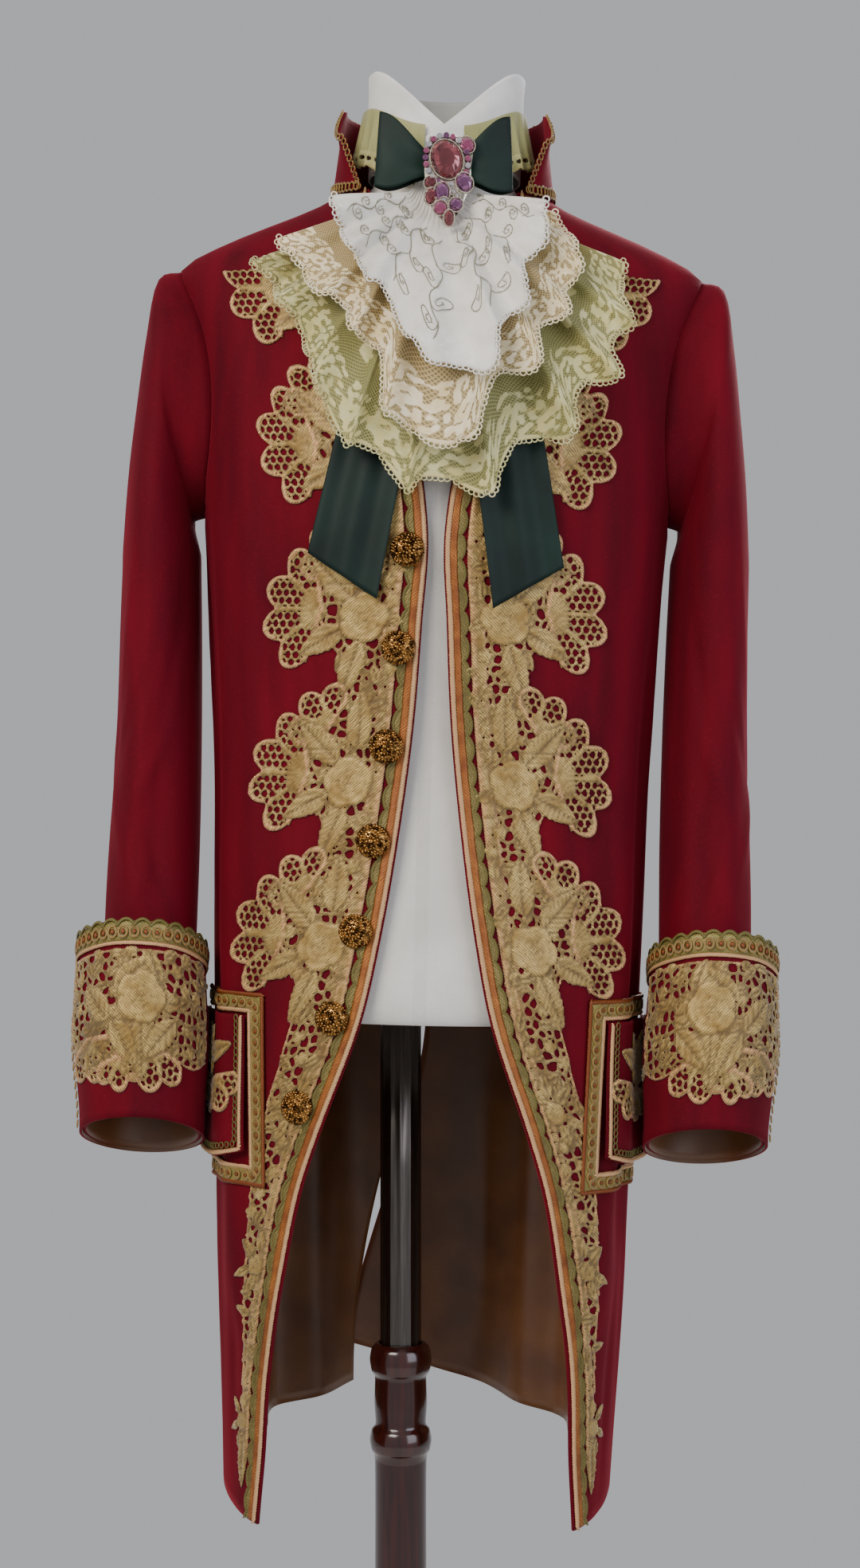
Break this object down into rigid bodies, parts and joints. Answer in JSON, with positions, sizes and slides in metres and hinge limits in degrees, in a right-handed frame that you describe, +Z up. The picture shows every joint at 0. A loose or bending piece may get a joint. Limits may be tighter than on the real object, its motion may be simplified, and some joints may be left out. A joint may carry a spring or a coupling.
{
  "type": "rococo jacket with jabot on a dress form",
  "caption": "Knee-length rococo jacket of dark red velvet with gold lace, tall cuffs, flapped pockets and a lace jabot, on a limbless dress form with a pole stand.",
  "frame": {"origin": "centre of the underside of the stand's round base", "axes": "+Z up along the pole, -Y to the front of the jacket, +X to the wearer's left"},
  "size_m": [0.5418, 0.39, 1.5561],
  "materials": {
    "velvet": "deep red pile",
    "braid": "woven metallic thread",
    "gold_lace": "corded lace",
    "bead_dome": "bronze beads sewn close",
    "stock_cotton": "plain white cotton",
    "green_gold_lace": "net with metallic outlines",
    "cream_lace": "corded cream lace",
    "white_satin": "soft satin with grey scrolls",
    "green_ribbon": "velvet ribbon",
    "cut_stones": "faceted stones in metal cups",
    "canvas": "white cotton canvas",
    "dark_steel": "dark polished steel",
    "mahogany": "glossy dark varnish"
  },
  "bodies": {
    "root": {"front_right": "velvet", "front_left": "velvet", "back_right": "velvet", "back_left": "velvet", "sleeve_right": "velvet", "sleeve_left": "velvet", "cuff_right": "velvet", "cuff_left": "velvet", "collar": "velvet", "pocket_flap_right": "velvet", "pocket_flap_left": "velvet", "edge_trim_right": "braid", "edge_trim_left": "braid", "cuff_trim_right": "braid", "cuff_trim_left": "braid", "pocket_frame_right": "braid", "pocket_frame_left": "braid", "lace_right": "gold_lace", "lace_left": "gold_lace", "cuff_lace_right": "gold_lace", "cuff_lace_left": "gold_lace", "button_1": "bead_dome", "button_2": "bead_dome", "button_3": "bead_dome", "button_4": "bead_dome", "button_5": "bead_dome", "button_6": "bead_dome", "button_7": "bead_dome", "stock": "stock_cotton", "neck_frill_right": "green_gold_lace", "neck_frill_left": "green_gold_lace", "jabot_tulle": "green_gold_lace", "jabot_guipure": "cream_lace", "jabot_satin": "white_satin", "bow_loop_right": "green_ribbon", "bow_loop_left": "green_ribbon", "ribbon_tail_right": "green_ribbon", "ribbon_tail_left": "green_ribbon", "brooch": "cut_stones", "dress_form": "canvas", "stand_pole": "dark_steel", "stand_base": "mahogany", "stand_post": "mahogany"}
  },
  "joints": []
}
